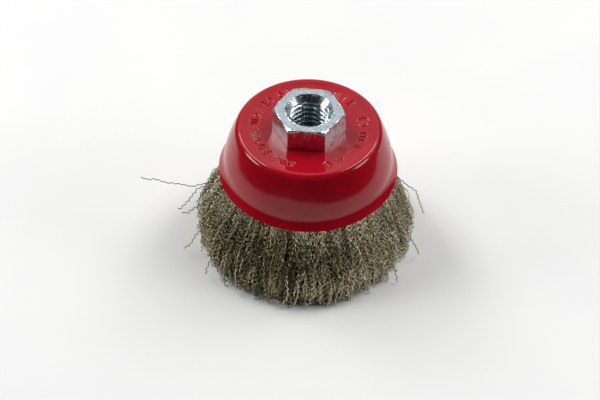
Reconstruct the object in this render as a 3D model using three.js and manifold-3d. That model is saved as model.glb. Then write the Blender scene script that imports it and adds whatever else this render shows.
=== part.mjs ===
// A crimped-wire cup brush for the spindle of a hand-held grinder. A pressed and enamelled steel
// cup holds a ring of crimped wires, folded over a steel hoop and pressed outwards by an inner
// plate. A hex nut with an M14 x 2 thread passes through cup and plate, and its end is swaged over.
//
// Millimetres, +Z up along the spin axis. The origin is the centre of the nut's top face, and one
// flat of the hexagon faces -Y. The brush stands on the tips of its wires.

import * as THREE from 'three';
import { mergeVertices } from 'three/addons/utils/BufferGeometryUtils.js';
import Module from 'manifold-3d';

// Driving dimensions.
const GAP = 0.3; // between pieces that touch on the real brush
const ROUND_STEPS = 60; // facets round the spin axis

const NUT_ACROSS_FLATS = 22;
const NUT_HEX_HEIGHT = 8.3;
const NUT_CHAMFER_RADIUS = 11.3; // where the chamfer leaves the flat top land
const NUT_CHAMFER_SLOPE = Math.tan(THREE.MathUtils.degToRad(30));
const NUT_LENGTH = 15.6; // hexagon, spigot and swaged end together
const SPIGOT_RADIUS = 9.8;
const SWAGE_RADIUS = 11.8;
const SWAGE_HEIGHT = 1.8;
const THREAD_PITCH = 2; // M14 x 2
const THREAD_MAJOR_RADIUS = 7;
const THREAD_MINOR_RADIUS = 5.92;
const COUNTERSINK_RADIUS = 8.17;
const THREAD_ROUND_STEPS = 32;
const THREAD_LEVELS_PER_TURN = 5;

const CUP_WALL = 1.2;
const CUP_HOLE_RADIUS = SPIGOT_RADIUS + GAP;
const CUP_TOP_Z = -(NUT_HEX_HEIGHT + GAP);
const CUP_SEAT_RADIUS = 13.4; // flat seat round the nut
const CUP_CREST = new THREE.Vector2(23.6, CUP_TOP_Z + 1.3); // the dished top rises to here
const CUP_EDGE_RADIUS = 1.3; // the tight bend between the top and the shoulder
const CUP_EDGE_END = THREE.MathUtils.degToRad(60);
const CUP_SHOULDER_RADIUS = 3.4;
const CUP_SHOULDER_END = THREE.MathUtils.degToRad(23);
const CUP_WALL_PULL = new THREE.Vector2(29.8, -18.8);
const CUP_KNEE = new THREE.Vector2(29.7, -22.8); // where the wall turns out into the lip
const CUP_RIM = new THREE.Vector2(31.7, -26.7);

const PLATE_THICKNESS = 1;
const PLATE_TOP_Z = CUP_TOP_Z - CUP_WALL - GAP;
const PLATE_FLAT_RADIUS = 15.4;
const PLATE_BEND_RADIUS = 2.8;
const PLATE_SKIRT_END = new THREE.Vector2(20, -22.6);

const HOOP_RING_RADIUS = 22.4;
const HOOP_Z = -15.2;
const HOOP_WIRE_RADIUS = 1;
const HOOP_SECTION_SIDES = 6;

const BUNDLE_COUNT = 20;
const RING_STEPS = 2 * BUNDLE_COUNT;
const FOLD_RADIUS = 3.2; // the wires' fold over the hoop
const FACE_Z = -58; // the tips of the wires
const FACE_OUTER_RADIUS = 38.7;
const FACE_INNER_RADIUS = 23.5;

const WIRE_RADIUS = 0.19;
const STRAY_STEP = 1.4; // length of one straight stretch of a stray wire

const wasm = await Module();
wasm.setup();

const enamel = new THREE.MeshStandardMaterial({ color: 0xc01220, roughness: 0.25, metalness: 0 });
const zinc = new THREE.MeshStandardMaterial({ color: 0xc9cdcc, roughness: 0.35, metalness: 1 });
const bareSteel = new THREE.MeshStandardMaterial({ color: 0x8a8c8e, roughness: 0.5, metalness: 1 });
const brassedWire = new THREE.MeshStandardMaterial({ color: 0xa89a72, roughness: 0.4, metalness: 1 });

// A closed three.js geometry as a manifold solid, ready to be cut or joined.
function solidOf(geometry) {
  geometry.deleteAttribute('normal');
  geometry.deleteAttribute('uv');
  const merged = mergeVertices(geometry, 1e-4);
  return new wasm.Manifold(new wasm.Mesh({
    numProp: 3,
    vertProperties: Float32Array.from(merged.attributes.position.array),
    triVerts: Uint32Array.from(merged.index.array),
  }));
}

function geometryOf(solid) {
  const mesh = solid.getMesh();
  const geometry = new THREE.BufferGeometry();
  geometry.setAttribute('position', new THREE.BufferAttribute(mesh.vertProperties, mesh.numProp));
  geometry.setIndex(new THREE.BufferAttribute(mesh.triVerts, 1));
  geometry.computeVertexNormals();
  return geometry;
}

// Turns an outline of (radius, z) points about the Z axis. The outline runs up its outer side.
function turned(outline, steps = ROUND_STEPS) {
  return new THREE.LatheGeometry(outline, steps).rotateX(Math.PI / 2);
}

function closed(outline) {
  return [...outline, outline[0].clone()];
}

function regularShape(sides, cornerRadius) {
  const corners = [];
  for (let i = 0; i < sides; i += 1) {
    const angle = (2 * Math.PI * i) / sides;
    corners.push(new THREE.Vector2(Math.cos(angle), Math.sin(angle)).multiplyScalar(cornerRadius));
  }
  return new THREE.Shape(corners);
}

// Points along an arc in the (radius, z) plane, angles in radians from the radial direction.
function arc(centre, radius, from, to, steps) {
  const points = [];
  for (let i = 0; i <= steps; i += 1) {
    const angle = from + ((to - from) * i) / steps;
    points.push(new THREE.Vector2(Math.cos(angle), Math.sin(angle)).multiplyScalar(radius).add(centre));
  }
  return points;
}

// The same outline moved sideways by a sheet's thickness: to its right when the distance is above 0.
function offset(outline, distance) {
  return outline.map((point, i) => {
    const before = outline[Math.max(i - 1, 0)];
    const after = outline[Math.min(i + 1, outline.length - 1)];
    const along = after.clone().sub(before).normalize();
    return new THREE.Vector2(along.y, -along.x).multiplyScalar(distance).add(point);
  });
}

// A sheet-metal piece of revolution, from the outline of its outer face, hub first.
function pressing(outerFace, thickness) {
  const innerFace = offset(outerFace, thickness);
  return turned(closed([...innerFace, ...outerFace.toReversed()]));
}

// Radius of the threaded bore's wall, with its countersink, at one angle and height.
function boreRadius(angle, z) {
  const turn = z / THREAD_PITCH - angle / (2 * Math.PI); // constant along a right-hand helix
  const ridge = Math.abs(2 * (turn - Math.floor(turn)) - 1); // 1 in the groove, 0 on the crest
  const depth = THREAD_MAJOR_RADIUS - THREAD_MINOR_RADIUS;
  const thread = THREAD_MINOR_RADIUS + depth * THREE.MathUtils.clamp(1.3 * ridge - 0.15, 0, 1);
  return Math.max(thread, COUNTERSINK_RADIUS + z);
}

// The solid that fills the threaded bore, and runs out past both ends of the nut.
function boreCore() {
  const levelHeight = THREAD_PITCH / THREAD_LEVELS_PER_TURN;
  const levels = Math.ceil((NUT_LENGTH + 2 * levelHeight) / levelHeight);
  const positions = [];
  const index = [];
  for (let k = 0; k <= levels; k += 1) {
    const z = (k - levels + 1) * levelHeight;
    for (let i = 0; i < THREAD_ROUND_STEPS; i += 1) {
      const angle = (2 * Math.PI * i) / THREAD_ROUND_STEPS;
      const radius = boreRadius(angle, z);
      positions.push(radius * Math.cos(angle), radius * Math.sin(angle), z);
    }
  }
  const bottom = positions.length / 3;
  positions.push(0, 0, (1 - levels) * levelHeight);
  positions.push(0, 0, levelHeight);
  for (let i = 0; i < THREAD_ROUND_STEPS; i += 1) {
    const next = (i + 1) % THREAD_ROUND_STEPS;
    for (let k = 0; k < levels; k += 1) {
      const low = k * THREAD_ROUND_STEPS;
      const high = low + THREAD_ROUND_STEPS;
      index.push(low + i, low + next, high + next, low + i, high + next, high + i);
    }
    const top = levels * THREAD_ROUND_STEPS;
    index.push(bottom, next, i, bottom + 1, top + i, top + next);
  }
  const geometry = new THREE.BufferGeometry();
  geometry.setAttribute('position', new THREE.Float32BufferAttribute(positions, 3));
  geometry.setIndex(index);
  return geometry;
}

// Hex nut with chamfered corners, a spigot through cup and plate, and its swaged end.
function arborNut() {
  const cornerRadius = NUT_ACROSS_FLATS / Math.sqrt(3);
  const hexagon = regularShape(6, cornerRadius);
  const prism = new THREE.ExtrudeGeometry(hexagon, { depth: NUT_HEX_HEIGHT, bevelEnabled: false });
  prism.translate(0, 0, -NUT_HEX_HEIGHT);
  const reach = cornerRadius + 1;
  const chamfer = turned([
    new THREE.Vector2(0, -NUT_HEX_HEIGHT - 1),
    new THREE.Vector2(reach, -NUT_HEX_HEIGHT - 1),
    new THREE.Vector2(reach, -(reach - NUT_CHAMFER_RADIUS) * NUT_CHAMFER_SLOPE),
    new THREE.Vector2(NUT_CHAMFER_RADIUS, 0),
    new THREE.Vector2(0, 0),
  ]);
  const swageTop = PLATE_TOP_Z - PLATE_THICKNESS - GAP;
  const spigot = turned([
    new THREE.Vector2(0, -NUT_LENGTH),
    new THREE.Vector2(SPIGOT_RADIUS - 0.8, -NUT_LENGTH),
    new THREE.Vector2(SPIGOT_RADIUS, swageTop - SWAGE_HEIGHT - 0.6),
    new THREE.Vector2(SWAGE_RADIUS, swageTop - SWAGE_HEIGHT),
    new THREE.Vector2(SWAGE_RADIUS, swageTop),
    new THREE.Vector2(SPIGOT_RADIUS, swageTop),
    new THREE.Vector2(SPIGOT_RADIUS, -NUT_HEX_HEIGHT + 1),
    new THREE.Vector2(0, -NUT_HEX_HEIGHT + 1),
  ]);
  const body = solidOf(prism).intersect(solidOf(chamfer)).add(solidOf(spigot));
  return geometryOf(body.subtract(solidOf(boreCore())));
}

// Outer face of the cup, from the hole round the spigot, over the shoulder, to the rim.
function cupOuterFace() {
  const edgeCentre = new THREE.Vector2(CUP_CREST.x, CUP_CREST.y - CUP_EDGE_RADIUS);
  const edge = arc(edgeCentre, CUP_EDGE_RADIUS, Math.PI / 2, CUP_EDGE_END, 1);
  const edgeNormal = new THREE.Vector2(Math.cos(CUP_EDGE_END), Math.sin(CUP_EDGE_END));
  const shoulderCentre = edge.at(-1).clone().addScaledVector(edgeNormal, -CUP_SHOULDER_RADIUS);
  const shoulder = arc(shoulderCentre, CUP_SHOULDER_RADIUS, CUP_EDGE_END, CUP_SHOULDER_END, 3).slice(1);
  const wallTop = shoulder.at(-1);
  const wall = new THREE.QuadraticBezierCurve(wallTop, CUP_WALL_PULL, CUP_KNEE).getPoints(3).slice(1);
  const lipPull = new THREE.Vector2(CUP_KNEE.x + 0.2, (CUP_KNEE.y + CUP_RIM.y) / 2 - 0.2);
  const lip = new THREE.QuadraticBezierCurve(CUP_KNEE, lipPull, CUP_RIM).getPoints(2).slice(1);
  const seat = [CUP_HOLE_RADIUS, CUP_SEAT_RADIUS].map((radius) => new THREE.Vector2(radius, CUP_TOP_Z));
  return [...seat, ...edge, ...shoulder, ...wall, ...lip];
}

function cupShell() {
  return pressing(cupOuterFace(), CUP_WALL);
}

// Dished plate under the cup. Its skirt presses the folded wires out against the cup's wall.
function innerPlate() {
  const bendCentre = new THREE.Vector2(PLATE_FLAT_RADIUS, PLATE_TOP_Z - PLATE_BEND_RADIUS);
  const bend = arc(bendCentre, PLATE_BEND_RADIUS, Math.PI / 2, THREE.MathUtils.degToRad(5), 2);
  const outerFace = [
    new THREE.Vector2(CUP_HOLE_RADIUS, PLATE_TOP_Z),
    ...bend,
    new THREE.Vector2(19, -20),
    PLATE_SKIRT_END,
  ];
  return pressing(outerFace, PLATE_THICKNESS);
}

function hoopRing(wireRadius, roundSteps) {
  const centre = new THREE.Vector2(HOOP_RING_RADIUS, HOOP_Z);
  return turned(arc(centre, wireRadius, 0, 2 * Math.PI, HOOP_SECTION_SIDES), roundSteps);
}

// The ring that all the wires fill together, with a round tunnel where the hoop lies in their fold.
function wireRing() {
  const foldCentre = new THREE.Vector2(HOOP_RING_RADIUS, HOOP_Z);
  const flare = new THREE.SplineCurve([
    new THREE.Vector2(FACE_OUTER_RADIUS, FACE_Z),
    new THREE.Vector2(39.6, -52),
    new THREE.Vector2(37.9, -46.5),
    new THREE.Vector2(34.6, -40.5),
    new THREE.Vector2(31.6, -34.5),
    new THREE.Vector2(30.5, -29.2),
  ]).getPoints(5);
  const outline = [
    ...flare,
    new THREE.Vector2(30, -27.6),
    new THREE.Vector2(28.1, -23.2),
    ...arc(foldCentre, FOLD_RADIUS, 0, Math.PI, 4),
    new THREE.Vector2(19.6, -20),
    new THREE.Vector2(20.8, -22.8),
    new THREE.Vector2(22, -38),
    new THREE.Vector2(FACE_INNER_RADIUS, FACE_Z),
  ];
  const tunnel = hoopRing(HOOP_WIRE_RADIUS + GAP, RING_STEPS);
  return solidOf(turned(closed(outline), RING_STEPS)).subtract(solidOf(tunnel));
}

// The upright wedge that cuts one bundle out of the ring, half a gap short of each neighbour.
function bundleWedge(number) {
  const halfAngle = Math.PI / BUNDLE_COUNT;
  const reach = 2 * FACE_OUTER_RADIUS;
  const apex = GAP / 2 / Math.sin(halfAngle);
  const pie = new THREE.Shape([
    new THREE.Vector2(apex, 0),
    new THREE.Vector2(apex + reach, -reach * Math.tan(halfAngle)),
    new THREE.Vector2(apex + reach, reach * Math.tan(halfAngle)),
  ]);
  const wedge = new THREE.ExtrudeGeometry(pie, { depth: -FACE_Z + 2, bevelEnabled: false });
  const firstAngle = -Math.PI / 2 + halfAngle;
  return wedge.translate(0, 0, FACE_Z - 1).rotateZ(firstAngle + 2 * halfAngle * number);
}

// A single wire that has sprung out of the ring, along a smooth route of [x, y, z] points.
function strayWire(route) {
  const path = new THREE.CatmullRomCurve3(route.map((point) => new THREE.Vector3(...point)));
  const section = regularShape(6, WIRE_RADIUS);
  const steps = Math.ceil(path.getLength() / STRAY_STEP);
  return new THREE.ExtrudeGeometry(section, { steps, extrudePath: path, bevelEnabled: false });
}

// Where the longest stray wires run once they are clear of the ring.
const strayRoutes = [
  [[-34.6, -2.6, -36.2], [-38.4, -2.9, -37.6], [-41.4, -3.1, -38.8], [-46, -3.4, -37.6], [-51.7, -3.8, -36.9],
    [-59.8, -4.4, -34.5]],
  [[-34.5, -6.8, -33.5], [-38.6, -7.6, -34.6], [-41.2, -8, -38.6], [-43, -8.2, -42], [-46.1, -8.4, -45.8]],
  [[-36.2, -10.3, -38.6], [-39.6, -11.2, -41], [-42.2, -11.1, -44.4], [-44.5, -11.3, -44.1]],
  [[-35.8, -16.6, -43.4], [-37.2, -17.2, -46.4], [-39.2, -17.6, -49.8], [-41, -17.8, -54], [-43.4, -17.9, -56]],
  [[-31.4, -26.6, -49.6], [-33.4, -28.6, -53.6], [-33.6, -29, -56.4]],
  [[35.4, 2.6, -35.4], [39.2, 2.8, -38.6], [41.2, 3, -45.5], [42.8, 3.1, -50.4]],
  [[38.6, -11.6, -48.6], [41, -12, -53], [42, -12, -56.2]],
  [[33, -23.6, -51], [34.4, -24.8, -55], [34.6, -25, -57.4]],
];

const brush = new THREE.Group();

function addPiece(name, geometry, material) {
  const mesh = new THREE.Mesh(geometry, material);
  mesh.name = name;
  brush.add(mesh);
}

const twoDigits = (number) => String(number).padStart(2, '0');

addPiece('arbor_nut', arborNut(), zinc);
addPiece('cup_shell', cupShell(), enamel);
addPiece('inner_plate', innerPlate(), bareSteel);
addPiece('holding_hoop', hoopRing(HOOP_WIRE_RADIUS, ROUND_STEPS), bareSteel);

const ring = wireRing();
for (let i = 0; i < BUNDLE_COUNT; i += 1) {
  const bundle = ring.intersect(solidOf(bundleWedge(i)));
  addPiece(`wire_bundle_${twoDigits(i + 1)}`, geometryOf(bundle), brassedWire);
}

strayRoutes.forEach((route, i) => {
  addPiece(`stray_wire_${twoDigits(i + 1)}`, strayWire(route), brassedWire);
});

export default brush;
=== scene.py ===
# A crimped-wire cup brush for a grinder's spindle, standing on the tips of its wires.
# The part's own frame has +Z up the spin axis, the origin at the centre of the nut's top face
# and one flat of the hexagon facing -Y. The brush's sizes are in millimetres, and become metres
# with MM. The table, the lights and the camera are given in metres.
import math

import bmesh
import bpy
import numpy as np
from mathutils import Matrix, Vector


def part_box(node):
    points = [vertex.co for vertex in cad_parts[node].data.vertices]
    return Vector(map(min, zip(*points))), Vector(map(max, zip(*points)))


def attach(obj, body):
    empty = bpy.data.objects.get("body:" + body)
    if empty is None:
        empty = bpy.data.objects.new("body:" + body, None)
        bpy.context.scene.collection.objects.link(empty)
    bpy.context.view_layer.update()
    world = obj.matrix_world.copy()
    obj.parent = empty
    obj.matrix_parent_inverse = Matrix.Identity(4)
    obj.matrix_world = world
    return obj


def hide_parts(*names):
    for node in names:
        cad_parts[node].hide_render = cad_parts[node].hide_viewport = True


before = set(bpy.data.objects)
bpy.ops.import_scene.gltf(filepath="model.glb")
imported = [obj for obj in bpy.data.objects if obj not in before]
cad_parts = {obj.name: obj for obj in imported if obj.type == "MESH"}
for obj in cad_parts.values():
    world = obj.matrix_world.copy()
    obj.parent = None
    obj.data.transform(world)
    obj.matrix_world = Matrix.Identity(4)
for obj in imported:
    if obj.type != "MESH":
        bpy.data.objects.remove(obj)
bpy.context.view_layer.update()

# --- Cup ---------------------------------------------------------------------------------
# A deep-drawn cup of 1.2 mm steel sheet, dipped in red enamel. Its top is dished: it rises
# from a flat seat under the nut to a crest, and carries a ring of stamped marks on the way.
# Its rim is flared into a lip that keeps the wires together.
MM = 0.001
CUP_WALL = 1.2
CUP_HOLE = 9.95
CUP_SEAT = 13.4
CUP_CREST = 23.6
CREST_RISE = 1.3
EDGE_BEND = 1.3
EDGE_END = math.radians(60)
SHOULDER = 3.4
SHOULDER_END = math.radians(23)
WALL_PULL = (29.8, -18.8)
KNEE = (29.7, -22.8)
LIP_PULL = (29.8, -24.2)
RIM_HEIGHT = -26.7
WALL_RADIUS = 30
CUP_COLUMNS = 720
MARK_RING = 19.0
MARK_BAND = (16.6, 21.6)
BAND_RISE = (0.37, 1.01)
MARK_DEPTH = 0.26
MARK_STROKE = 0.27
cup_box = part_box("cup_shell")
cup_crest = cup_box[1].z / MM
cup_seat = cup_crest - CREST_RISE
rim = (cup_box[1].x / MM, RIM_HEIGHT)


def arc(centre, radius, start, end, steps):
    """Points of (radius, height) on an arc, angles from the outward direction."""
    angles = [start + (end - start) * i / steps for i in range(steps + 1)]
    return [(centre[0] + radius * math.cos(a), centre[1] + radius * math.sin(a)) for a in angles]


def straight(start, end, steps):
    """Evenly spaced points after start, up to and with end."""
    ways = [i / steps for i in range(1, steps + 1)]
    return [(start[0] + (end[0] - start[0]) * w, start[1] + (end[1] - start[1]) * w) for w in ways]


def bowed(start, pull, end, steps):
    """Points after start on a curve that is pulled towards a point on its way to end."""
    made = []
    for i in range(1, steps + 1):
        way = i / steps
        weights = ((1 - way) ** 2, 2 * way * (1 - way), way**2)
        made.append(tuple(np.dot(weights, (start, pull, end))))
    return made


def sheet_behind(outline, thickness):
    """The other face of a sheet, a thickness to the right of the outline's way."""
    line = np.array(outline)
    along = np.gradient(line, axis=0)
    along /= np.linalg.norm(along, axis=1)[:, None]
    return line + thickness * np.stack([along[:, 1], -along[:, 0]], axis=1)


def closed_piece(name, points, quads, smooth_angle):
    """An object from points in millimetres and their faces, closed and facing outwards."""
    mesh = bpy.data.meshes.new(name)
    mesh.from_pydata((np.asarray(points) * MM).tolist(), [], np.asarray(quads).tolist())
    solid = bmesh.new()
    solid.from_mesh(mesh)
    bmesh.ops.remove_doubles(solid, verts=solid.verts, dist=0.002 * MM)
    bmesh.ops.recalc_face_normals(solid, faces=solid.faces)
    solid.to_mesh(mesh)
    solid.free()
    mesh.shade_smooth()
    mesh.set_sharp_from_angle(angle=smooth_angle)
    piece = bpy.data.objects.new(name, mesh)
    bpy.context.collection.objects.link(piece)
    return piece


def ring_quads(rows, columns):
    """Faces of a grid of rows that closes on itself both ways, as a turned ring does."""
    row, column = np.meshgrid(np.arange(rows), np.arange(columns), indexing="ij")
    next_row = (row + 1) % rows
    next_column = (column + 1) % columns
    corners = [(row, column), (row, next_column), (next_row, next_column), (next_row, column)]
    return np.stack([r * columns + c for r, c in corners], axis=-1).reshape(-1, 4)


def turned_points(outline, columns):
    """A closed outline of (radius, height) turned about the spin axis, row by row."""
    line = np.array(outline)
    angle = np.arange(columns) * 2 * math.pi / columns
    radius = line[:, :1]
    height = np.repeat(line[:, 1:], columns, axis=1)
    return np.stack([radius * np.cos(angle), radius * np.sin(angle), height], axis=-1)


def stroke(x, y, start, end):
    """How far each point lies from a straight stroke of a stamp."""
    run = np.subtract(end, start)
    way = ((x - start[0]) * run[0] + (y - start[1]) * run[1]) / run.dot(run)
    way = way.clip(0, 1)
    return np.hypot(x - start[0] - way * run[0], y - start[1] - way * run[1])


def circle(x, y, centre, radius):
    """How far each point lies from a stamped ring."""
    return np.abs(np.hypot(x - centre[0], y - centre[1]) - radius)


def outline_of(*corners):
    """The strokes that join corners one after the other, and the last to the first."""
    return list(zip(corners, corners[1:] + corners[:1]))


def dots(*places):
    """A very short stroke at each place."""
    return [(place, (place[0] + 0.02, place[1])) for place in places]


def chevron(y):
    """The two strokes of a roof-shaped mark at a height."""
    return [((-1, y - 0.3), (0, y + 0.4)), ((0, y + 0.4), (1, y - 0.3))]


def hexagon_corner(number):
    """A corner of a hexagon that is a little taller than it is wide."""
    turn = math.pi / 3 * number
    return (0.95 * math.sin(turn), 1.2 * math.cos(turn))


# Plain ornaments that spell nothing: each is a few strokes, in millimetres. mark_places gives
# each one's angle round the cup in degrees.
LOZENGE = outline_of((0, 1.5), (1.0, 0), (0, -1.5), (-1.0, 0))
SMALL_LOZENGE = outline_of((0, 0.9), (0.6, 0), (0, -0.9), (-0.6, 0))
SLANTS = [((x - 0.45, -1.3), (x + 0.45, 1.3)) for x in (-0.9, 0, 0.9)]
DASH = [((0, -1.2), (0, 1.2))]
CHEVRONS = chevron(-1.1) + chevron(0) + chevron(1.1)
STUDS = dots((-0.55, 1.2), (0.55, 1.2), (-0.55, 0), (0.55, 0), (-0.55, -1.2), (0.55, -1.2))
HONEYCOMB = outline_of(*[hexagon_corner(i) for i in range(6)]) + dots((0, 0))
mark_places = (
    list(zip((178, 168.5, 159, 150, 141), (SLANTS, LOZENGE, STUDS, CHEVRONS, HONEYCOMB)))
    + [(127, LOZENGE), (118, SLANTS), (108, STUDS), (100, DASH)]
    + [(63, SLANTS), (53.5, DASH), (44, CHEVRONS)]
    + [(-4, DASH), (-9, DASH), (-14, DASH), (-25, SMALL_LOZENGE)]
    + [(-50, SMALL_LOZENGE), (-58, STUDS), (-66, HONEYCOMB)]
    + [(-102, HONEYCOMB), (-111, SLANTS), (-120, LOZENGE)]
    + list(zip((-134, -143, -152, -161, -171), (CHEVRONS, LOZENGE, HONEYCOMB, SLANTS, STUDS)))
)
EMBLEM_ANGLE = 13
EMBLEM_RADIUS = 2.0


def stamped_depth(x, y):
    """Depth of the stamped marks below the dished top, at points in millimetres."""
    nearest = np.full(x.shape, 9.0)
    for degrees, strokes in mark_places:
        turn = math.radians(degrees)
        across = -x * math.sin(turn) + y * math.cos(turn)
        outwards = x * math.cos(turn) + y * math.sin(turn) - MARK_RING
        for start, end in strokes:
            nearest = np.minimum(nearest, stroke(across, outwards, start, end))
    turn = math.radians(EMBLEM_ANGLE)
    centre = (MARK_RING * math.cos(turn), MARK_RING * math.sin(turn))
    nearest = np.minimum(nearest, circle(x, y, centre, EMBLEM_RADIUS))
    nearest = np.minimum(nearest, np.hypot(x - centre[0], y - centre[1]) - MARK_STROKE / 2)
    edge = ((MARK_STROKE * 1.5 - nearest) / MARK_STROKE).clip(0, 1)
    return MARK_DEPTH * edge * edge * (3 - 2 * edge)


seat_end = (CUP_SEAT - 0.8, cup_seat)
band_start = (MARK_BAND[0], cup_seat + BAND_RISE[0])
band_end = (MARK_BAND[1], cup_seat + BAND_RISE[1])
cup_face = [(CUP_HOLE, cup_seat), seat_end]
cup_face += bowed(seat_end, (CUP_SEAT + 0.6, cup_seat), band_start, 5)
cup_face += straight(band_start, band_end, 33)
cup_face += bowed(cup_face[-1], (CUP_CREST - 0.6, cup_crest), (CUP_CREST, cup_crest), 6)
cup_face += arc((CUP_CREST, cup_crest - EDGE_BEND), EDGE_BEND, math.pi / 2, EDGE_END, 6)[1:]
edge_x, edge_z = cup_face[-1]
shoulder_centre = (edge_x - SHOULDER * math.cos(EDGE_END), edge_z - SHOULDER * math.sin(EDGE_END))
cup_face += arc(shoulder_centre, SHOULDER, EDGE_END, SHOULDER_END, 10)[1:]
wall_top = cup_face[-1]
cup_face += bowed(wall_top, WALL_PULL, KNEE, 14)
cup_face += bowed(KNEE, LIP_PULL, rim, 9)
cup_inside = sheet_behind(cup_face[:-1:4] + cup_face[-1:], CUP_WALL)
cup_points = turned_points(cup_face + cup_inside[::-1].tolist(), CUP_COLUMNS)

# The drawn wall is a few hundredths of a millimetre out of round, more so further down.
angle = np.arange(CUP_COLUMNS) * 2 * math.pi / CUP_COLUMNS
drawn = ((cup_seat - cup_points[..., 2]) / 10).clip(0, 1)
wobble = 0.035 * np.sin(3 * angle + 0.7) + 0.03 * np.sin(5 * angle + 2.1) + 0.02 * np.sin(9 * angle)
cup_points[..., :2] *= (1 + drawn * wobble / WALL_RADIUS)[..., None]
on_top = slice(0, len(cup_face) // 2)
cup_points[on_top, :, 2] -= stamped_depth(cup_points[on_top, :, 0], cup_points[on_top, :, 1])
cup = closed_piece(
    "cup", cup_points.reshape(-1, 3), ring_quads(len(cup_points), CUP_COLUMNS), math.radians(50)
)


def add_node(tree, kind, inputs=None, **settings):
    """A node with its settings, and each input set to a value or linked to another's output."""
    made = tree.nodes.new(kind)
    for key, value in settings.items():
        setattr(made, key, value)
    for socket, value in (inputs or {}).items():
        if isinstance(value, bpy.types.NodeSocket):
            tree.links.new(value, made.inputs[socket])
        else:
            made.inputs[socket].default_value = value
    return made


def fresh_finish(name, **constants):
    """A new material: its tree, its shader with constants set, and the surface's coordinates."""
    finish = bpy.data.materials.new(name)
    finish.use_nodes = True
    tree = finish.node_tree
    shader = tree.nodes["Principled BSDF"]
    for socket, value in constants.items():
        shader.inputs[socket.replace("_", " ")].default_value = value
    place = add_node(tree, "ShaderNodeTexCoord").outputs["Object"]
    return finish, tree, shader, place


def grain(tree, place, size_mm, detail=3.0, roughness=0.5, stretch=None):
    """Noise with features of a size in millimetres, optionally stretched along the axes."""
    if stretch:
        place = add_node(tree, "ShaderNodeMapping", {"Vector": place, "Scale": stretch}).outputs[0]
    inputs = {"Vector": place, "Scale": 1 / (size_mm * MM), "Detail": detail, "Roughness": roughness}
    return add_node(tree, "ShaderNodeTexNoise", inputs).outputs[0]


def spread(tree, value, low, high, start=0.3, end=0.7):
    """A noise value stretched from its middle range to run from low to high."""
    inputs = {"Value": value, "From Min": start, "From Max": end, "To Min": low, "To Max": high}
    return add_node(tree, "ShaderNodeMapRange", inputs).outputs[0]


def shades(tree, value, *stops):
    """A colour ramp with stops of (position, colour)."""
    ramp = add_node(tree, "ShaderNodeValToRGB", {"Fac": value})
    elements = ramp.color_ramp.elements
    while len(elements) < len(stops):
        elements.new(0.5)
    for element, (position, colour) in zip(elements, stops):
        element.position = position
        element.color = (*colour, 1)
    return ramp.outputs[0]


def relief(tree, shader, height, depth_mm, strength=1.0, below=None):
    """Bump on the shader's normal, of a depth in millimetres, over an earlier bump."""
    inputs = {"Height": height, "Distance": depth_mm * MM, "Strength": strength}
    if below:
        inputs["Normal"] = below
    made = add_node(tree, "ShaderNodeBump", inputs).outputs[0]
    tree.links.new(made, shader.inputs["Normal"])
    return made


def red_enamel():
    """Glossy dipped enamel: a cloudy red, smeared by hands, with slight orange peel and dust."""
    finish, tree, shader, place = fresh_finish("red enamel", IOR=1.43)
    clouds = grain(tree, place, 9, 4, 0.6)
    colour = shades(tree, clouds, (0.3, (0.335, 0.0028, 0.010)), (0.7, (0.41, 0.0045, 0.0145)))
    tree.links.new(colour, shader.inputs["Base Color"])
    smears = grain(tree, place, 3.5, 5, 0.65)
    tree.links.new(spread(tree, smears, 0.09, 0.17), shader.inputs["Roughness"])
    peel = grain(tree, place, 1.5, 2, 0.4)
    dust = grain(tree, place, 0.3, 2, 0.5)
    below = relief(tree, shader, peel, 0.012, 0.5)
    relief(tree, shader, dust, 0.003, 0.4, below)
    return finish


cup.data.materials.append(red_enamel())
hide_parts("cup_shell")
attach(cup, "root")

# --- Inner plate and hoop ----------------------------------------------------------------
# The plate is a dished pressing whose skirt jams the folded wires against the cup. The hoop
# is a ring of 2 mm steel wire that every wire is folded over. Both are bare, oiled steel.
PLATE_THICKNESS = 1.0
PLATE_FLAT = 15.4
PLATE_BEND = 2.8
PLATE_BEND_END = math.radians(5)
SKIRT_PULL = (18.7, -18.5)
SKIRT_END = (20.0, -22.6)
PLATE_COLUMNS = 144
HOOP_RADIUS = 1.0
plate_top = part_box("inner_plate")[1].z / MM
hoop_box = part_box("holding_hoop")
hoop_ring = hoop_box[1].x / MM - HOOP_RADIUS
hoop_height = (hoop_box[0].z + hoop_box[1].z) / 2 / MM


def bare_steel():
    """Dark oily steel with stains and a fine tooth."""
    finish, tree, shader, place = fresh_finish("bare oiled steel", Metallic=1.0)
    stains = grain(tree, place, 5, 5, 0.6)
    colour = shades(tree, stains, (0.3, (0.20, 0.20, 0.20)), (0.75, (0.42, 0.42, 0.41)))
    tree.links.new(colour, shader.inputs["Base Color"])
    tree.links.new(spread(tree, grain(tree, place, 1.2, 4), 0.28, 0.5), shader.inputs["Roughness"])
    relief(tree, shader, grain(tree, place, 0.4, 3), 0.01, 0.5)
    return finish


steel = bare_steel()
plate_face = [(CUP_HOLE, plate_top)] + straight((CUP_HOLE, plate_top), (PLATE_FLAT, plate_top), 6)
bend_centre = (PLATE_FLAT, plate_top - PLATE_BEND)
plate_face += arc(bend_centre, PLATE_BEND, math.pi / 2, PLATE_BEND_END, 10)[1:]
plate_face += bowed(plate_face[-1], SKIRT_PULL, SKIRT_END, 8)
plate_outline = plate_face + sheet_behind(plate_face, PLATE_THICKNESS)[::-1].tolist()
hoop_outline = arc((hoop_ring, hoop_height), HOOP_RADIUS, 0, 2 * math.pi, 14)[:-1]
for name, outline, node in (
    ("plate", plate_outline, "inner_plate"),
    ("hoop", hoop_outline, "holding_hoop"),
):
    points = turned_points(outline, PLATE_COLUMNS)
    quads = ring_quads(len(points), PLATE_COLUMNS)
    piece = closed_piece(name, points.reshape(-1, 3), quads, math.radians(40))
    piece.data.materials.append(steel)
    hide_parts(node)
    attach(piece, "root")

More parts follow.
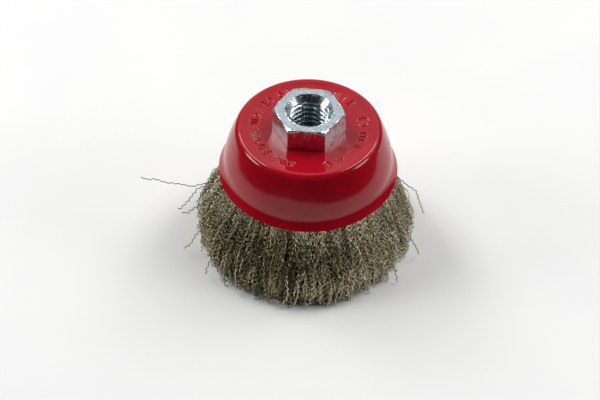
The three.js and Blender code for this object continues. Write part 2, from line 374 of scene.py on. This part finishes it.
# --- Nut ---------------------------------------------------------------------------------
# Turned from 22 mm hexagon bar: corners chamfered, bore countersunk and tapped M14 x 2, and a
# spigot below that goes through cup and plate and is swaged over. Bright zinc plate.
ACROSS_FLATS = 22.0
CORNER_EDGE = 0.3
CHAMFER_RADIUS = 11.28
CHAMFER_SLOPE = math.tan(math.radians(30))
COUNTERSINK = 8.17
SEAT_GAP = 0.02
PITCH = 2.0
MAJOR = 7.0
MINOR = 5.92
SPIGOT = 9.8
SWAGE = 11.8
PER_FLAT = 72
PER_TURN = 14
nut_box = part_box("arbor_nut")
nut_bottom = nut_box[0].z / MM
hex_bottom = cup_seat + SEAT_GAP

steps = (np.arange(PER_FLAT) + 0.5) / PER_FLAT * 2 - 1
on_flat = np.sign(steps) * math.radians(30) * (1 - (1 - np.abs(steps)) ** 1.4)
nut_angles = np.concatenate([math.radians(60 * i - 90) + on_flat for i in range(6)])
nut_columns = len(nut_angles)


def hexagon_radius(angles):
    """Distance to the hexagon's side, with its upright edges slightly rounded."""
    from_flat = (np.degrees(angles) + 90 + 30) % 60 - 30
    side = ACROSS_FLATS / 2 / np.cos(np.radians(from_flat))
    from_corner = np.radians(30 - np.abs(from_flat))
    centre = (ACROSS_FLATS / 2 - CORNER_EDGE) / math.cos(math.radians(30))
    touch_x = centre + CORNER_EDGE * math.cos(math.pi / 3)
    touch = math.atan2(CORNER_EDGE * math.sin(math.pi / 3), touch_x)
    within = np.maximum(CORNER_EDGE**2 - (centre * np.sin(from_corner)) ** 2, 0)
    return np.where(from_corner < touch, centre * np.cos(from_corner) + np.sqrt(within), side)


def chamfer_depth(radius):
    """How far the chamfer has dropped below the top face at a radius."""
    return np.maximum(radius - CHAMFER_RADIUS, 0) * CHAMFER_SLOPE


def nut_row(radius, height):
    """One row of the nut's surface: a radius and a height at every angle."""
    radius = np.broadcast_to(radius, nut_angles.shape)
    height = np.broadcast_to(height, nut_angles.shape)
    return np.stack([radius * np.cos(nut_angles), radius * np.sin(nut_angles), height], axis=-1)


def burrs(scale, phase):
    """A small uneven lift round the nut where the tool left it rough."""
    waves = [np.sin(nut_angles * n + phase * n) / n**0.5 for n in (7, 17, 31, 53, 83, 131)]
    return scale * sum(waves)


side = hexagon_radius(nut_angles)
chamfer_drop = chamfer_depth(side)
land = np.minimum(side - 0.15, CHAMFER_RADIUS)

# Rows from the foot of the hexagon up its side, over the chamfer and in to the countersink.
nut_rows = [
    nut_row(SPIGOT, hex_bottom),
    nut_row(side - 0.2, hex_bottom),
    nut_row(side, hex_bottom + 0.15),
    nut_row(side, (hex_bottom - chamfer_drop) / 2),
    nut_row(side, -chamfer_drop - 0.5),
    nut_row(side, -chamfer_drop - 0.28),
    nut_row(side - 0.06, -chamfer_drop - 0.1 + burrs(0.06, 1.3)),
    nut_row(side - 0.22, -chamfer_depth(side - 0.2)),
]
for way in (0.3, 0.6, 0.85):
    radius = side - 0.22 + (land - side + 0.22) * way
    nut_rows.append(nut_row(radius, -chamfer_depth(radius) + burrs(0.05, way)))
nut_rows += [
    nut_row(land - 0.1, burrs(0.035, 2.2)),
    nut_row(10.4, 0),
    nut_row(9.6, 0),
    nut_row(8.9, 0),
    nut_row(COUNTERSINK + 0.3, burrs(0.02, 0.4)),
    nut_row(COUNTERSINK + 0.1 + burrs(0.06, 1.7), -0.04 + burrs(0.03, 3.1)),
    nut_row(COUNTERSINK, 0),
]

# The thread is a strip that winds down the bore. Its rows run past both ends, where they
# gather on the rim of the countersink and of the bore's lower mouth.
turns = math.ceil(-nut_bottom / PITCH) + 2
thread_rows = np.arange(turns * PER_TURN + 1)
phase = thread_rows[:, None] / PER_TURN
climb = (nut_angles - nut_angles[0])[None, :] / (2 * math.pi)
thread_height = PITCH * (1 + climb - phase)
ridge = np.abs(2 * (phase % 1) - 1)
thread_radius = MINOR + (MAJOR - MINOR) * (1.4 * ridge - 0.25).clip(0, 1)
below_mouth = thread_height.clip(nut_bottom, 0)
thread_radius = np.maximum(thread_radius, COUNTERSINK + below_mouth)
thread_radius = np.maximum(thread_radius, MAJOR - (below_mouth - nut_bottom) * 1.2)
thread_points = np.stack(
    [thread_radius * np.cos(nut_angles), thread_radius * np.sin(nut_angles), below_mouth], axis=-1
)

# Rows from the bore's lower mouth, round the spigot's end and up over its swaged collar.
swage_top = plate_top - PLATE_THICKNESS
spigot_rows = [
    nut_row(MAJOR, nut_bottom),
    nut_row(SPIGOT - 0.9, nut_bottom),
    nut_row(SPIGOT - 0.3, nut_bottom + 0.25),
    nut_row(SPIGOT, nut_bottom + 0.9),
    nut_row(SPIGOT + 0.1, swage_top - 2.3),
    nut_row(SWAGE - 0.5, swage_top - 1.9),
    nut_row(SWAGE, swage_top - 1.4),
    nut_row(SWAGE - 0.1, swage_top - 0.5),
    nut_row(SWAGE - 0.7, swage_top),
    nut_row(SPIGOT, swage_top),
]


def strip_quads(first_row, rows, columns, seam_shift=0):
    """Faces between neighbouring rows. Across the seam a row meets the one a shift further on."""
    row, column = np.meshgrid(np.arange(rows - 1), np.arange(columns), indexing="ij")
    beyond = column + 1 == columns
    there = row + beyond * seam_shift
    corners = [(row, column), (there, (column + 1) % columns)]
    corners += [(there + 1, (column + 1) % columns), (row + 1, column)]
    quads = np.stack([(first_row + r) * columns + c for r, c in corners], axis=-1)
    return quads[(there >= 0) & (there < rows - 1)].tolist()


outer_rows = spigot_rows + nut_rows
nut_points = np.concatenate([np.stack(outer_rows), thread_points])
nut_quads = strip_quads(0, len(outer_rows), nut_columns)
nut_quads += strip_quads(len(outer_rows), len(thread_points), nut_columns, -PER_TURN)
nut = closed_piece("nut", nut_points.reshape(-1, 3), nut_quads, math.radians(32))


def bright_zinc():
    """Zinc plate, bright where the hexagon was rolled and dull and pitted where it was cut."""
    finish, tree, shader, place = fresh_finish("bright zinc plate", Metallic=1.0)
    clouds = grain(tree, place, 2.4, 6, 0.6)
    plate = shades(tree, clouds, (0.35, (0.46, 0.54, 0.58)), (0.65, (0.68, 0.745, 0.775)))
    parts = add_node(tree, "ShaderNodeSeparateXYZ", {0: place}).outputs
    flat_place = add_node(tree, "ShaderNodeCombineXYZ", {0: parts[0], 1: parts[1]}).outputs[0]
    radius = add_node(tree, "ShaderNodeVectorMath", {0: flat_place}, operation="LENGTH").outputs["Value"]
    from_edge = add_node(
        tree, "ShaderNodeMath", {0: radius, 1: CHAMFER_RADIUS * MM, 2: 1.2 * MM}, operation="COMPARE"
    ).outputs[0]
    from_mouth = add_node(
        tree, "ShaderNodeMath", {0: radius, 1: COUNTERSINK * MM, 2: 0.7 * MM}, operation="COMPARE"
    ).outputs[0]
    near_edge = add_node(
        tree, "ShaderNodeMath", {0: from_edge, 1: from_mouth}, operation="MAXIMUM"
    ).outputs[0]
    at_top = spread(tree, parts[2], 0, 1, -1.5 * MM, -0.9 * MM)
    torn = spread(tree, grain(tree, place, 0.75, 4, 0.6), 0, 1, 0.56, 0.62)
    for where in (near_edge, at_top):
        torn = add_node(tree, "ShaderNodeMath", {0: torn, 1: where}, operation="MULTIPLY").outputs[0]
    pitted = (0.13, 0.15, 0.16, 1)
    colour = add_node(tree, "ShaderNodeMix", {0: torn, 6: plate, 7: pitted}, data_type="RGBA")
    tree.links.new(colour.outputs[2], shader.inputs["Base Color"])
    fine_grain = grain(tree, place, 0.9, 4, 0.55, (1, 1, 0.3))
    tree.links.new(spread(tree, fine_grain, 0.13, 0.3), shader.inputs["Roughness"])
    waves = grain(tree, place, 1.6, 3, 0.5)
    below = relief(tree, shader, waves, 0.012, 0.6)
    relief(tree, shader, torn, 0.05, 0.8, below)
    return finish


nut.data.materials.append(bright_zinc())
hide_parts("arbor_nut")
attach(nut, "root")

# --- Wires -------------------------------------------------------------------------------
# Brass-coated steel wire, crimped between toothed rolls and cut to length. Each wire is folded
# over the hoop, so that one leg leaves outside it and one inside, and both flare out below the
# lip. The real ring has several thousand wires of about 0.3 mm. Here 5,200 legs of 0.38 mm
# fill it, in twenty bundles, each grown along four guide lines of (radius, height).
BUNDLES = 20
HAIRPINS = 130
LEG_POINTS = 38
# The first 0.13 of a leg's points cover the first 0.30 of its length, which the cup hides.
HIDDEN_POINTS = 0.13
HIDDEN_LENGTH = 0.30
WIRE_RADIUS = 0.19
CRIMP = 0.62
floor_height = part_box("wire_bundle_01")[0].z / MM
fold = (hoop_ring, hoop_height)
guides = (
    ((22.4, -12.3), (25.2, -13.6), (26.2, -17), (27.4, -22.5), (28.6, -26), (29.3, -29),
     (30.4, -33), (32.2, -37.5), (34.6, -42.5), (36.8, -47.5), (38.0, -52), (38.1, -58)),
    ((22.4, -13.9), (23.8, -15.2), (24.2, -18), (25.0, -24),
     (26.8, -32), (29.3, -42), (30.8, -50), (31.2, -58)),
    ((22.4, -13.9), (21.0, -15.2), (21.4, -18), (22.3, -24),
     (24.4, -32), (27.3, -42), (29.4, -50), (30.6, -58)),
    ((22.4, -12.3), (19.9, -13.6), (19.9, -18), (20.9, -23),
     (21.4, -30), (22.0, -40), (22.8, -50), (23.4, -58)),
)


def smooth_line(points, steps):
    """A smooth line of (radius, height) points through the given ones, evenly spaced."""
    line = np.array(points)
    padded = np.concatenate([2 * line[:1] - line[1:2], line, 2 * line[-1:] - line[-2:-1]])
    ways = np.linspace(0, 1, 12, endpoint=False)[:, None]
    parts = []
    for a, b, c, d in zip(padded, padded[1:], padded[2:], padded[3:]):
        cubic = ((3 * (b - c) + d - a) * ways + 2 * a - 5 * b + 4 * c - d) * ways + c - a
        parts.append(0.5 * cubic * ways + b)
    fine = np.concatenate([*parts, line[-1:]])
    length = np.concatenate([[0], np.hypot(*np.diff(fine, axis=0).T).cumsum()])
    even = np.linspace(0, length[-1], steps)
    return np.stack([np.interp(even, length, fine[:, i]) for i in (0, 1)], axis=-1)


def sums(tree, operation, *values):
    """The output of a maths node."""
    return add_node(tree, "ShaderNodeMath", dict(enumerate(values)), operation=operation).outputs[0]


def vectors(tree, operation, *values, scale=None):
    """The output of a vector maths node."""
    inputs = dict(enumerate(values))
    if scale is not None:
        inputs["Scale"] = scale
    return add_node(tree, "ShaderNodeVectorMath", inputs, operation=operation).outputs[0]


def chance(tree, low, high, number, seed, salt):
    """A random value between low and high, the same for the same number."""
    inputs = {2: low, 3: high, "ID": number, "Seed": sums(tree, "ADD", seed, salt)}
    return add_node(tree, "FunctionNodeRandomValue", inputs, data_type="FLOAT").outputs[1]


def ramp_up(tree, value, start, end):
    """0 before start, 1 after end, and a smooth rise between."""
    inputs = {0: value, 1: start, 2: end}
    return add_node(tree, "ShaderNodeMapRange", inputs, interpolation_type="SMOOTHSTEP").outputs[0]


def zigzag(tree, index):
    """1 and -1 by turns, from point to point along a wire."""
    odd = sums(tree, "MODULO", index, 2)
    return sums(tree, "SUBTRACT", 1, sums(tree, "MULTIPLY", odd, 2))


def new_tree(name, sockets):
    """A geometry tree with named inputs of (name, kind, value), and its two end nodes."""
    tree = bpy.data.node_groups.new(name, "GeometryNodeTree")
    tree.interface.new_socket("Geometry", in_out="INPUT", socket_type="NodeSocketGeometry")
    tree.interface.new_socket("Geometry", in_out="OUTPUT", socket_type="NodeSocketGeometry")
    for label, kind, value in sockets:
        socket = tree.interface.new_socket(label, in_out="INPUT", socket_type="NodeSocket" + kind)
        if value is not None:
            socket.default_value = value
    return tree, tree.nodes.new("NodeGroupInput").outputs, tree.nodes.new("NodeGroupOutput").inputs


def wire_skin(tree, given, lines, result):
    """Gives lines a round section with closed ends, and the wire's finish."""
    section = add_node(
        tree, "GeometryNodeCurvePrimitiveCircle", {"Resolution": 3, "Radius": given["Wire radius"]}
    )
    skin = add_node(
        tree, "GeometryNodeCurveToMesh",
        {"Curve": lines, "Profile Curve": section.outputs[0], "Fill Caps": True},
    )
    smooth = add_node(tree, "GeometryNodeSetShadeSmooth", {"Geometry": skin.outputs[0]})
    real = add_node(tree, "GeometryNodeRealizeInstances", {0: smooth.outputs[0]})
    finish = add_node(
        tree, "GeometryNodeSetMaterial", {"Geometry": real.outputs[0], "Material": given["Finish"]}
    )
    tree.links.new(finish.outputs[0], result[0])


def crimped_ring_tree():
    """Grows the legs of a bundle of hairpins between the guide lines, each with its own crimp."""
    tree, given, result = new_tree("crimped ring", (
        ("Hairpins", "Int", HAIRPINS), ("Points", "Int", LEG_POINTS), ("Start angle", "Float", 0.0),
        ("Sweep", "Float", 0.3), ("Wire radius", "Float", WIRE_RADIUS * MM), ("Crimp", "Float", CRIMP * MM),
        ("Lean", "Float", 0.3), ("Flyaway", "Float", 2.6 * MM), ("Bush", "Float", 0.0),
        ("Painted side light", "Float", 0.0), ("Lowest", "Float", floor_height * MM), ("Seed", "Int", 1),
        ("Finish", "Material", None),
    ))
    seed = given["Seed"]
    guide = add_node(tree, "GeometryNodeMeshToCurve", {"Mesh": given["Geometry"]}).outputs[0]
    line = add_node(tree, "GeometryNodeCurvePrimitiveLine")
    points = add_node(
        tree, "GeometryNodeResampleCurve", {"Curve": line.outputs[0], "Count": given["Points"]}, mode="COUNT"
    )
    legs = add_node(
        tree, "GeometryNodeDuplicateElements",
        {"Geometry": points.outputs[0], "Amount": sums(tree, "MULTIPLY", given["Hairpins"], 2)},
        domain="SPLINE",
    )
    place = add_node(tree, "GeometryNodeSplineParameter").outputs
    leg = add_node(tree, "GeometryNodeCurveOfPoint").outputs[0]
    inside = sums(tree, "MODULO", leg, 2)
    hairpin = sums(tree, "FLOOR", sums(tree, "DIVIDE", leg, 2))
    # Every point gets a number of its own: a leg has fewer than 64 points.
    dot = sums(tree, "ADD", sums(tree, "MULTIPLY", leg, 64), place["Index"])
    hidden = add_node(tree, "ShaderNodeMapRange", {0: place["Factor"], 2: HIDDEN_POINTS, 4: HIDDEN_LENGTH})
    seen = add_node(tree, "ShaderNodeMapRange", {0: place["Factor"], 1: HIDDEN_POINTS, 4: 1 - HIDDEN_LENGTH})
    run = sums(tree, "ADD", hidden.outputs[0], seen.outputs[0])

    # Where a leg is on its way from fold to tip, and how deep in the ring it lies.
    cut_short = sums(tree, "POWER", chance(tree, 0, 1, leg, seed, 1), 2.5)
    length = sums(tree, "SUBTRACT", 1, sums(tree, "MULTIPLY", cut_short, 0.11))
    shift = sums(tree, "MULTIPLY", chance(tree, -0.006, 0.006, dot, seed, 2), ramp_up(tree, run, 0, 0.2))
    way = sums(tree, "ADD", sums(tree, "MULTIPLY", run, length), shift)
    depth = sums(tree, "POWER", chance(tree, 0, 1, hairpin, seed, 3), 1.25)
    swim = sums(tree, "MULTIPLY", chance(tree, -0.3, 0.3, leg, seed, 4), ramp_up(tree, run, 0.35, 1))
    depth = sums(tree, "MAXIMUM", sums(tree, "ADD", depth, swim), -0.06)

    def on_guide(index):
        made = add_node(
            tree, "GeometryNodeSampleCurve", {"Curves": guide, "Factor": way, "Curve Index": index},
            mode="FACTOR",
        )
        return made.outputs["Position"], made.outputs["Tangent"]

    surface, heading = on_guide(sums(tree, "MULTIPLY", inside, 3))
    core, _ = on_guide(sums(tree, "ADD", inside, 1))
    between = vectors(tree, "SCALE", vectors(tree, "SUBTRACT", core, surface), scale=depth)
    spot = vectors(tree, "ADD", surface, between)
    sideways = (0.0, 1.0, 0.0)
    inwards = vectors(tree, "CROSS_PRODUCT", sideways, heading)

    # The crimp, which turns slowly round the leg, and the legs that stand away from the ring.
    parity = zigzag(tree, place["Index"])
    size = sums(tree, "MULTIPLY", given["Crimp"], chance(tree, 0.5, 1.3, dot, seed, 5))
    size = sums(tree, "MULTIPLY", size, ramp_up(tree, run, 0.05, 0.35))
    wave = sums(tree, "MULTIPLY", parity, size)
    roll = chance(tree, 0, 2 * math.pi, leg, seed, 6)
    turn_on = sums(tree, "ADD", roll, sums(tree, "MULTIPLY", run, chance(tree, -6, 6, leg, seed, 7)))
    across = sums(tree, "MULTIPLY", wave, sums(tree, "COSINE", turn_on))
    fly = sums(tree, "POWER", chance(tree, 0, 1, leg, seed, 8), 4)
    fly = sums(tree, "MULTIPLY", fly, ramp_up(tree, run, 0.4, 1.1))
    outer_only = sums(tree, "SUBTRACT", inside, 1)
    fly = sums(tree, "MULTIPLY", fly, sums(tree, "MULTIPLY", given["Flyaway"], outer_only))
    down = sums(tree, "ADD", sums(tree, "MULTIPLY", wave, sums(tree, "SINE", turn_on)), fly)
    spot = vectors(tree, "ADD", spot, vectors(tree, "SCALE", sideways, scale=across))
    spot = vectors(tree, "ADD", spot, vectors(tree, "SCALE", inwards, scale=down))
    bush = sums(tree, "MULTIPLY", given["Bush"], ramp_up(tree, run, 0.3, 0.55))
    spot = vectors(tree, "ADD", spot, vectors(tree, "SCALE", (1.0, 0.0, 0.0), scale=bush))

    # The leg's place round the ring, its sideways lean and a slow bend.
    start = sums(tree, "MULTIPLY", given["Sweep"], chance(tree, 0, 1, hairpin, seed, 9))
    lean = sums(tree, "SUBTRACT", chance(tree, 0, 1, leg, seed, 10), chance(tree, 0, 1, leg, seed, 11))
    lean = sums(tree, "MULTIPLY", sums(tree, "MULTIPLY", lean, given["Lean"]), ramp_up(tree, run, 0.25, 1.1))
    bend = sums(tree, "SINE", sums(tree, "MULTIPLY_ADD", run, chance(tree, 8, 20, leg, seed, 13), roll))
    bend = sums(tree, "MULTIPLY", bend, sums(tree, "MULTIPLY", 0.022, ramp_up(tree, run, 0.25, 0.6)))
    angle = sums(tree, "ADD", sums(tree, "ADD", given["Start angle"], start), sums(tree, "ADD", lean, bend))
    turned = add_node(
        tree, "ShaderNodeVectorRotate", {"Vector": spot, "Angle": angle}, rotation_type="Z_AXIS"
    )
    parts = add_node(tree, "ShaderNodeSeparateXYZ", {0: turned.outputs[0]}).outputs
    lowest = sums(tree, "ADD", given["Lowest"], given["Wire radius"])
    placed = add_node(
        tree, "ShaderNodeCombineXYZ", {0: parts[0], 1: parts[1], 2: sums(tree, "MAXIMUM", parts[2], lowest)}
    )
    moved = add_node(
        tree, "GeometryNodeSetPosition", {"Geometry": legs.outputs[0], "Position": placed.outputs[0]}
    )
    # Each leg's brass has a tone of its own at random. Painted shade darkens the legs deep in the ring, and
    # painted light brightens the side bundles.
    painted_depth_shade = sums(tree, "MULTIPLY", ramp_up(tree, depth, 0.15, 0.8), 0.4)
    tone_and_painted_light = sums(tree, "SUBTRACT", chance(tree, 0.15, 1.15, leg, seed, 12), painted_depth_shade)
    tone_and_painted_light = sums(tree, "ADD", tone_and_painted_light, given["Painted side light"])
    tone = add_node(
        tree, "GeometryNodeStoreNamedAttribute",
        {"Geometry": moved.outputs[0], "Name": "tone", "Value": tone_and_painted_light},
        data_type="FLOAT", domain="CURVE",
    )
    wire_skin(tree, given, tone.outputs[0], result)
    return tree


def brassed_wire():
    """Thin brass over steel: each wire has its own tone, and painted shade darkens it in small spots."""
    finish, tree, shader, place = fresh_finish("brass-coated crimped wire", Metallic=1.0)
    tone = add_node(tree, "ShaderNodeAttribute", attribute_name="tone").outputs["Fac"]
    brass = shades(
        tree, tone, (0.0, (0.05, 0.045, 0.035)), (0.35, (0.38, 0.32, 0.19)),
        (0.7, (0.96, 0.83, 0.51)), (1.0, (1.0, 0.94, 0.72)),
    )
    # Painted shade: a fine noise darkens small spots of each wire nearly to black, in place of the shade in
    # the gaps between wires.
    fine_grain = spread(tree, grain(tree, place, 0.9, 2), 0, 1, 0.46, 0.6)
    painted_shade_amount = sums(tree, "MULTIPLY", fine_grain, 0.5)
    painted_shade_colour = (0.05, 0.048, 0.045, 1)
    colour = add_node(tree, "ShaderNodeMix", {0: painted_shade_amount, 6: brass, 7: painted_shade_colour}, data_type="RGBA")
    tree.links.new(colour.outputs[2], shader.inputs["Base Color"])
    tree.links.new(spread(tree, grain(tree, place, 0.5, 2), 0.17, 0.3), shader.inputs["Roughness"])
    relief(tree, shader, grain(tree, place, 0.2, 2), 0.01, 0.4)
    return finish


def settled(name, lines, tree, values):
    """Runs a tree on lines of points in metres, and keeps the result as a plain mesh."""
    mesh = bpy.data.meshes.new(name + "_guides")
    edges = []
    points = []
    for line in lines:
        first = len(points)
        points.extend(line)
        edges.extend((i, i + 1) for i in range(first, first + len(line) - 1))
    mesh.from_pydata(points, edges, [])
    carrier = bpy.data.objects.new(name + "_carrier", mesh)
    bpy.context.collection.objects.link(carrier)
    modifier = carrier.modifiers.new("grow", "NODES")
    modifier.node_group = tree
    for socket in tree.interface.items_tree:
        if socket.in_out == "INPUT" and socket.name in values:
            modifier[socket.identifier] = values[socket.name]
    ready = carrier.evaluated_get(bpy.context.evaluated_depsgraph_get())
    piece = bpy.data.objects.new(name, bpy.data.meshes.new_from_object(ready))
    bpy.data.objects.remove(carrier)
    bpy.context.collection.objects.link(piece)
    return piece


wire_finish = brassed_wire()
ring_tree = crimped_ring_tree()
guide_lines = [[(r * MM, 0.0, z * MM) for r, z in smooth_line(points, 48)] for points in guides]

# Bush pushes the ring out at its left and draws it in at its right. The left and right bundles also get
# painted light: their brass is made brighter than at front and back, to stand in for more light from the
# sides.
for number in range(BUNDLES):
    label = f"{number + 1:02d}"
    middle = math.radians(360 / BUNDLES * (number + 0.5) - 90)
    bundle = settled("wires_" + label, guide_lines, ring_tree, {
        "Start angle": math.radians(360 / BUNDLES * number - 90),
        "Sweep": 2 * math.pi / BUNDLES,
        "Bush": (0.1 - 0.7 * math.cos(middle)) * MM,
        "Painted side light": 0.3 * abs(math.cos(middle)),
        "Seed": 100 + 20 * number,
        "Finish": wire_finish,
    })
    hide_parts("wire_bundle_" + label)
    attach(bundle, "root")

# --- Stray wires -------------------------------------------------------------------------
# Single wires that have sprung out of the ring in use, still held by their fold. Their routes
# start inside the ring and end where the CAD wires do.
STRAY_TONE = 0.2
stray_routes = (
    ((-29.2, -1.9, -27.5), (-31.5, -2.3, -32.5), (-34.6, -2.6, -36.2), (-38.4, -2.9, -37.6),
     (-41.4, -3.1, -38.8), (-46, -3.4, -37.6), (-51.7, -3.8, -36.9), (-55.2, -4.1, -34.9),
     (-57.1, -4.2, -36.0), (-59.8, -4.4, -34.5)),
    ((-28.8, -5.5, -27.5), (-31.2, -6.2, -31), (-34.5, -6.8, -33.5), (-38.6, -7.6, -34.6),
     (-41.2, -8, -38.6), (-43, -8.2, -42), (-46.1, -8.4, -45.8)),
    ((-30, -8.6, -32), (-33.4, -9.5, -36.2), (-36.2, -10.3, -38.6), (-39.6, -11.2, -41),
     (-42.2, -11.1, -44.4), (-44.5, -11.3, -44.1)),
    ((-31, -14.3, -36), (-34, -15.7, -40.5), (-35.8, -16.6, -43.4), (-37.2, -17.2, -46.4),
     (-39.2, -17.6, -49.8), (-41, -17.8, -54), (-43.4, -17.9, -56)),
    ((-28, -23.6, -42), (-30, -25.3, -46), (-31.4, -26.6, -49.6), (-33.4, -28.6, -53.6),
     (-33.6, -29, -56.4)),
    ((29.5, 2.1, -28), (32.4, 2.4, -32.2), (35.4, 2.6, -35.4), (39.2, 2.8, -38.6),
     (41.2, 3, -45.5), (42.8, 3.1, -50.4)),
    ((34, -10.2, -41.5), (37, -11.1, -45.3), (38.6, -11.6, -48.6), (41, -12, -53), (42, -12, -56.2)),
    ((29.6, -21, -42), (31.8, -22.7, -47), (33, -23.6, -51), (34.4, -24.8, -55), (34.6, -25, -57.4)),
)


def stray_tree():
    """One crimped wire along each line it is given."""
    tree, given, result = new_tree("stray wire", (
        ("Crimp length", "Float", 1.2 * MM), ("Crimp", "Float", 0.36 * MM),
        ("Wire radius", "Float", WIRE_RADIUS * MM), ("Seed", "Int", 1), ("Finish", "Material", None),
    ))
    line = add_node(tree, "GeometryNodeMeshToCurve", {"Mesh": given["Geometry"]})
    points = add_node(
        tree, "GeometryNodeResampleCurve", {"Curve": line.outputs[0], "Length": given["Crimp length"]},
        mode="LENGTH",
    )
    place = add_node(tree, "GeometryNodeSplineParameter").outputs
    parity = zigzag(tree, place["Index"])
    size = sums(tree, "MULTIPLY", given["Crimp"], chance(tree, 0.5, 1.2, place["Index"], given["Seed"], 1))
    heading = add_node(tree, "GeometryNodeInputTangent").outputs[0]
    upright = vectors(tree, "NORMALIZE", vectors(tree, "CROSS_PRODUCT", heading, (0.2, 1.0, 0.1)))
    wave = sums(tree, "MULTIPLY", parity, size)
    moved = add_node(
        tree, "GeometryNodeSetPosition",
        {"Geometry": points.outputs[0], "Offset": vectors(tree, "SCALE", upright, scale=wave)},
    )
    tone = add_node(
        tree, "GeometryNodeStoreNamedAttribute",
        {"Geometry": moved.outputs[0], "Name": "tone", "Value": STRAY_TONE},
        data_type="FLOAT", domain="CURVE",
    )
    wire_skin(tree, given, tone.outputs[0], result)
    return tree


single_tree = stray_tree()
for number, route in enumerate(stray_routes):
    label = f"{number + 1:02d}"
    stray = settled("stray_" + label, [[Vector(p) * MM for p in route]], single_tree, {
        "Seed": 500 + number,
        "Finish": wire_finish,
    })
    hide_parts("stray_wire_" + label)
    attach(stray, "root")

# --- Table, light and camera -------------------------------------------------------------
# A pale table whose front and side edges lie just outside the view. Two long softboxes hang
# above it, left and right and a little behind, and a small low window is at either side. The
# wall behind is bright and the room in front dark, but the camera sees an even pale wall.
table_mesh = bpy.data.meshes.new("table")
corners = [
    (-0.1, -0.28), (0.04, -0.26), (0.12, -0.15), (0.15, 0), (0.22, 0.3),
    (0.4, 1.2), (-0.4, 1.2), (-0.22, 0.3), (-0.15, 0), (-0.13, -0.2),
]
table_points = [(x, y, floor_height * MM) for x, y in corners]
table_mesh.from_pydata(table_points, [], [tuple(range(len(corners)))])
table = bpy.data.objects.new("table", table_mesh)
bpy.context.collection.objects.link(table)
finish, tree, shader, place = fresh_finish("pale table", Roughness=0.7)
shader.inputs["Specular IOR Level"].default_value = 0.2
paint = shades(tree, grain(tree, place, 60, 3), (0.3, (0.81, 0.82, 0.82)), (0.7, (0.84, 0.845, 0.845)))
tree.links.new(paint, shader.inputs["Base Color"])
table_mesh.materials.append(finish)

world = bpy.data.worlds.new("soft room")
bpy.context.scene.world = world
world.use_nodes = True
tree = world.node_tree
background = tree.nodes["Background"]
direction = add_node(tree, "ShaderNodeTexCoord").outputs["Generated"]
parts = add_node(tree, "ShaderNodeSeparateXYZ", {0: direction}).outputs
WALL_GLOW = 0.8
OVERHEAD_LOSS = 0.7
ROOM_GLOW = 0.015
SEEN_GLOW = 0.9
raised = ramp_up(tree, parts["Z"], 0.15, 0.45)
behind = ramp_up(tree, parts["Y"], 0.1, 0.4)
overhead = ramp_up(tree, parts["Z"], 0.8, 0.95)
faded = sums(tree, "SUBTRACT", WALL_GLOW, sums(tree, "MULTIPLY", overhead, OVERHEAD_LOSS))
wall_light = sums(tree, "MULTIPLY", behind, faded)
room_light = sums(tree, "MULTIPLY_ADD", raised, wall_light, ROOM_GLOW)
to_camera = add_node(tree, "ShaderNodeLightPath").outputs["Is Camera Ray"]
choice = {0: to_camera, 2: room_light, 3: SEEN_GLOW}
strength = add_node(tree, "ShaderNodeMix", choice, data_type="FLOAT")
tree.links.new(strength.outputs[0], background.inputs["Strength"])
background.inputs["Color"].default_value = (0.97, 0.985, 1.0, 1)

LIT_POINT = Vector((0, 0, -0.02))
LAMP_DISTANCE = 1.1


def soft_light(name, heading, along, size, power):
    """An oblong area light out along a heading. The second of its sizes runs along a direction."""
    lamp = bpy.data.lights.new(name, "AREA")
    lamp.shape = "RECTANGLE"
    lamp.size, lamp.size_y = size
    lamp.energy = power
    lamp.color = (1.0, 0.99, 0.975)
    made = bpy.data.objects.new(name, lamp)
    back = Vector(heading).normalized()
    right = Vector(along).cross(back).normalized()
    made.location = LIT_POINT + back * LAMP_DISTANCE
    made.rotation_euler = Matrix((right, back.cross(right), back)).transposed().to_euler()
    bpy.context.collection.objects.link(made)


soft_light("left softbox", (-0.59, 0.29, 0.754), (0.14, -0.88, 0.44), (0.3, 0.82), 6.4)
soft_light("right softbox", (0.54, 0.30, 0.787), (-0.22, -0.86, 0.46), (0.3, 0.82), 6.4)
soft_light("left window", (-0.9, -0.12, 0.42), (0, 1, 0), (0.3, 0.4), 3.2)
soft_light("right window", (0.9, -0.06, 0.42), (0, 1, 0), (0.3, 0.4), 2.4)

camera_data = bpy.data.cameras.new("camera")
camera_data.lens = 75
camera_data.sensor_width = 36
camera = bpy.data.objects.new("camera", camera_data)
DISTANCE = 0.4255
ELEVATION = math.radians(42.65)
AZIMUTH = math.radians(4.22)
ROLL = math.radians(0.89)
AIM = Vector((-0.0015, -0.0140, -0.030))
camera.location = DISTANCE * Vector((
    math.cos(ELEVATION) * math.sin(AZIMUTH), -math.cos(ELEVATION) * math.cos(AZIMUTH), math.sin(ELEVATION)
))
sight = AIM - camera.location
camera.rotation_mode = "QUATERNION"
rolled = Matrix.Rotation(ROLL, 3, "Z").to_quaternion()
camera.rotation_quaternion = sight.to_track_quat("-Z", "Y") @ rolled
bpy.context.collection.objects.link(camera)
bpy.context.scene.camera = camera
bpy.context.scene.view_settings.view_transform = "Standard"
